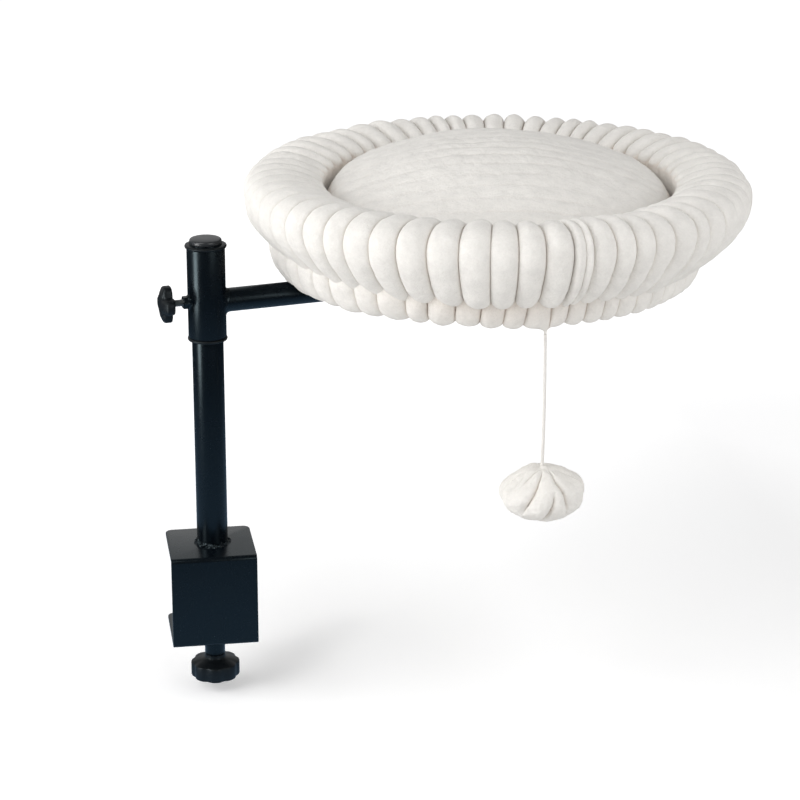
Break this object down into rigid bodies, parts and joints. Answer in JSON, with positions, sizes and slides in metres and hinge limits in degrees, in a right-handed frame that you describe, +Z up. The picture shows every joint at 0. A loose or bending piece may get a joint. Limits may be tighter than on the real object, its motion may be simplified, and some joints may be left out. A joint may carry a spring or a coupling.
{
  "type": "cat perch",
  "caption": "Round ribbed plush pet bed on a side arm that swivels and slides on an upright post, with a screw clamp for a table edge and a soft ball on a cord.",
  "frame": {"origin": "middle of the rubber face that rests on the table top, straight under the post", "axes": "+Z up along the post, +Y from the table edge into the table, +X along the edge towards the bed"},
  "size_m": [0.5159, 0.4348, 0.441],
  "materials": {
    "black_powder_coat": "semi-gloss black powder coat",
    "black_plastic": "moulded, fine grain",
    "black_rubber": "matt",
    "black_zinc_steel": "black zinc plate on threads",
    "zinc_steel": "bright zinc plate",
    "plywood": "sanded",
    "lining_cloth": "non-woven",
    "off_white_plush": "short-pile wide-rib plush",
    "off_white_cord": "twisted cord"
  },
  "bodies": {
    "clamp": {"clamp_bracket": "black_powder_coat", "jaw_liner": "black_rubber", "threaded_boss": "black_powder_coat", "post_tube": "black_powder_coat", "post_cap": "black_plastic"},
    "clamp_pad": {"pressure_disc": "black_powder_coat", "pressure_pad_rubber": "black_rubber"},
    "clamp_screw": {"clamp_screw": "black_zinc_steel", "hand_knob": "black_plastic"},
    "bushes": {"upper_bush": "black_plastic", "lower_bush": "black_plastic"},
    "arm": {"sleeve": "black_powder_coat", "lock_nut": "black_powder_coat", "arm_tube": "black_powder_coat", "arm_end_cap": "black_plastic", "support_plate": "black_powder_coat", "board_screw_1": "zinc_steel", "board_screw_2": "zinc_steel", "board_screw_3": "zinc_steel", "board_screw_4": "zinc_steel", "underside_lining": "lining_cloth", "bed_board": "plywood", "base_rim": "off_white_plush", "bolster_ring": "off_white_plush", "seat_cushion": "off_white_plush"},
    "lock_screw": {"lock_screw": "black_zinc_steel"},
    "lock_knob": {"lock_knob": "black_plastic"},
    "toy_knot": {"cord_knot": "off_white_cord"},
    "toy": {"toy_cord": "off_white_cord", "toy_pompom": "off_white_plush"}
  },
  "joints": [
    {"name": "pad_slide", "type": "slide", "parent": "clamp", "child": "clamp_pad", "axis": [0, 0, -1], "range_m": [0, 0.0402]},
    {"name": "clamp_screw_turn", "type": "hinge", "parent": "clamp_pad", "child": "clamp_screw", "pos_m": [0, 0, -0.05], "axis": [0, 0, -1], "range_deg": [0, 9648]},
    {"name": "arm_height", "type": "slide", "parent": "clamp", "child": "bushes", "axis": [0, 0, -1], "range_m": [0, 0.1786]},
    {"name": "arm_swivel", "type": "hinge", "parent": "bushes", "child": "arm", "pos_m": [0, 0, 0.23015], "axis": [0, 0, 1], "continuous": true},
    {"name": "lock_slide", "type": "slide", "parent": "arm", "child": "lock_screw", "axis": [-0.9803, -0.1977, 0], "range_m": [0, 0.003]},
    {"name": "lock_turn", "type": "hinge", "parent": "lock_screw", "child": "lock_knob", "pos_m": [-0.02941, -0.00593, 0.2227], "axis": [-0.9803, -0.1977, 0], "range_deg": [0, 1080]},
    {"name": "toy_swing_side", "type": "hinge", "parent": "arm", "child": "toy_knot", "pos_m": [0.26238, -0.11854, 0.22], "axis": [0, 1, 0], "range_deg": [-50, 50]},
    {"name": "toy_swing_front", "type": "hinge", "parent": "toy_knot", "child": "toy", "pos_m": [0.26238, -0.11854, 0.22], "axis": [1, 0, 0], "range_deg": [-50, 50]}
  ],
  "couplings": [
    {"joint": "clamp_screw_turn", "follows": "pad_slide", "rad_per_m": 4188.8},
    {"joint": "lock_turn", "follows": "lock_slide", "rad_per_m": 6283.2}
  ]
}
